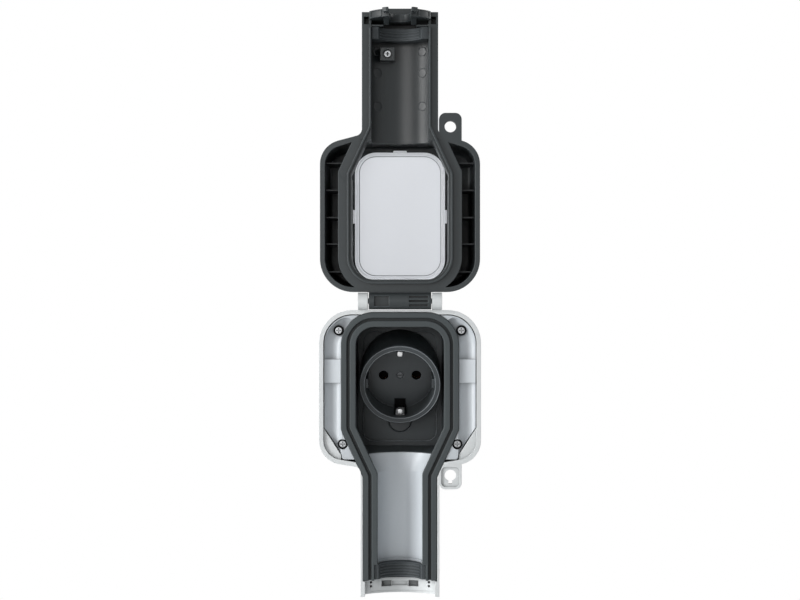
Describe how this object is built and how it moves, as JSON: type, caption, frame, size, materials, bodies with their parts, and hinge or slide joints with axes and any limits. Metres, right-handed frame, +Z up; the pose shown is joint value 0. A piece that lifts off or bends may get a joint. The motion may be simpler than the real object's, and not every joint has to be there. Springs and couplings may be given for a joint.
{
  "type": "outdoor smart socket",
  "caption": "Weatherproof plug-in power socket: tilted earthed outlet in a gasketed clam-shell housing with a hinged lid, cord channel, snap latch, padlock ears and power button.",
  "frame": {"origin": "midway between the two plug pins, at their roots on the plug's face", "axes": "+Y along the plug pins into the wall outlet, +Z up, +X to the right as seen from the front; the lid is stored opened flat"},
  "size_m": [0.09, 0.1102, 0.3285],
  "materials": {
    "light_plastic": "fine satin, light grey",
    "frame_plastic": "smooth satin, light blue-grey",
    "lid_plastic": "textured anthracite",
    "latch_plastic": "smooth black-grey",
    "tray_plastic": "fine textured black",
    "socket_plastic": "satin dark grey",
    "gasket_rubber": "matt moulded rubber",
    "seal_rubber": "matt moulded rubber",
    "screw_steel": "zinc plated",
    "spring_steel": "bright plated",
    "pin_metal": "nickel-plated brass",
    "contact_brass": "bare copper alloy",
    "board_laminate": "lacquered laminate",
    "component_plastic": "moulded black"
  },
  "bodies": {
    "base": {"rear_housing": "light_plastic", "front_frame": "frame_plastic", "frame_screws": "screw_steel", "base_gasket": "gasket_rubber", "lower_cable_seal": "seal_rubber", "socket_tray": "tray_plastic", "socket_body": "socket_plastic", "earth_bracket": "spring_steel", "socket_contacts": "contact_brass", "socket_screw": "screw_steel", "button_switch": "component_plastic", "plug_body": "socket_plastic", "plug_pins": "pin_metal", "plug_earth_strips": "spring_steel", "control_board": "board_laminate", "board_screws": "screw_steel", "relay": "component_plastic", "power_module": "component_plastic", "radio_module": "spring_steel", "filter_capacitor": "component_plastic", "hinge_pin": "screw_steel"},
    "button": {"power_button": "socket_plastic"},
    "lid": {"lid_shell": "lid_plastic", "lid_panel": "light_plastic", "upper_cable_seal": "seal_rubber", "end_latch": "latch_plastic", "clamp_screw": "screw_steel"}
  },
  "joints": [
    {"name": "lid_hinge", "type": "hinge", "parent": "base", "child": "lid", "pos_m": [0, -0.076, 0.043], "axis": [1, 0, 0], "range_deg": [0, 180]},
    {"name": "button_press", "type": "slide", "parent": "base", "child": "button", "axis": [0, 1, 0], "range_m": [0, 0.001], "stiffness_N_per_m": 1000}
  ]
}
